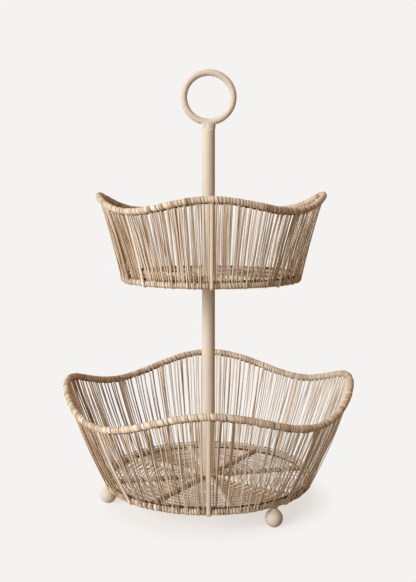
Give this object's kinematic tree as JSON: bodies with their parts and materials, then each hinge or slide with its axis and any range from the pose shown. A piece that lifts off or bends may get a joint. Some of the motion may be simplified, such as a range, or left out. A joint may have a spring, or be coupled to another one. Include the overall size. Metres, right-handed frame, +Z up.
{
  "type": "two-tier basket stand",
  "caption": "Free-standing tiered basket: round fibre-strung wire baskets with waved rims on a central tube post with a ring handle and ball feet, for fruit or small items.",
  "frame": {"origin": "on the floor under the centre of the post", "axes": "+Z up along the post; the ring handle's plane is XZ and the picture looks along +Y"},
  "size_m": [0.2956, 0.2956, 0.4396],
  "materials": {
    "post_paint": "satin beige powder coat",
    "frame_wire": "matt beige powder coat",
    "steel_hardware": "zinc plated",
    "nylon_washer": "matt beige nylon",
    "wall_fibre": "dry natural fibre strand",
    "binding_fibre": "natural fibre wound tight",
    "floor_fibre": "natural fibre cord, woven"
  },
  "bodies": {
    "stand": {"base_screw": "steel_hardware", "base_washer": "steel_hardware", "foot_ball_1": "post_paint", "foot_ball_2": "post_paint", "foot_ball_3": "post_paint", "foot_studs": "post_paint", "joint_stud": "steel_hardware", "lower_base_ring_binding": "binding_fibre", "lower_base_ring_wire": "frame_wire", "lower_floor_weave": "floor_fibre", "lower_hub_plate": "frame_wire", "lower_post": "post_paint", "lower_post_bottom_bush": "steel_hardware", "lower_post_top_bush": "steel_hardware", "lower_rim_binding": "binding_fibre", "lower_rim_wire": "frame_wire", "lower_spoke_bindings": "binding_fibre", "lower_spoke_wires": "frame_wire", "lower_upright_1": "wall_fibre", "lower_upright_2": "wall_fibre", "lower_upright_3": "wall_fibre", "lower_upright_4": "wall_fibre", "lower_upright_5": "wall_fibre", "lower_upright_6": "wall_fibre", "lower_upright_7": "wall_fibre", "lower_upright_8": "wall_fibre", "lower_wall_strands": "wall_fibre"},
    "upper_basket": {"upper_base_ring_binding": "binding_fibre", "upper_base_ring_wire": "frame_wire", "upper_floor_weave": "floor_fibre", "upper_hub_plate": "frame_wire", "upper_rim_binding": "binding_fibre", "upper_rim_wire": "frame_wire", "upper_spoke_bindings": "binding_fibre", "upper_spoke_wires": "frame_wire", "upper_upright_1": "wall_fibre", "upper_upright_2": "wall_fibre", "upper_upright_3": "wall_fibre", "upper_upright_4": "wall_fibre", "upper_upright_5": "wall_fibre", "upper_upright_6": "wall_fibre", "upper_upright_7": "wall_fibre", "upper_upright_8": "wall_fibre", "upper_wall_strands": "wall_fibre"},
    "handle_washer": {"clamp_washer": "nylon_washer"},
    "handle": {"ring_handle": "post_paint", "handle_weld": "post_paint", "upper_post": "post_paint", "upper_post_bush": "steel_hardware"}
  },
  "joints": [
    {"name": "basket_swivel", "type": "hinge", "parent": "stand", "child": "upper_basket", "pos_m": [0, 0, 0.2249], "axis": [0, 0, 1], "continuous": true},
    {"name": "handle_rise", "type": "slide", "parent": "stand", "child": "handle_washer", "axis": [0, 0, 1], "range_m": [0, 0.012]},
    {"name": "handle_turn", "type": "hinge", "parent": "handle_washer", "child": "handle", "pos_m": [0, 0, 0.2286], "axis": [0, 0, 1], "range_deg": [0, 4320]}
  ],
  "couplings": [
    {"joint": "handle_rise", "follows": "handle_turn", "m_per_rad": 0.00015915}
  ]
}
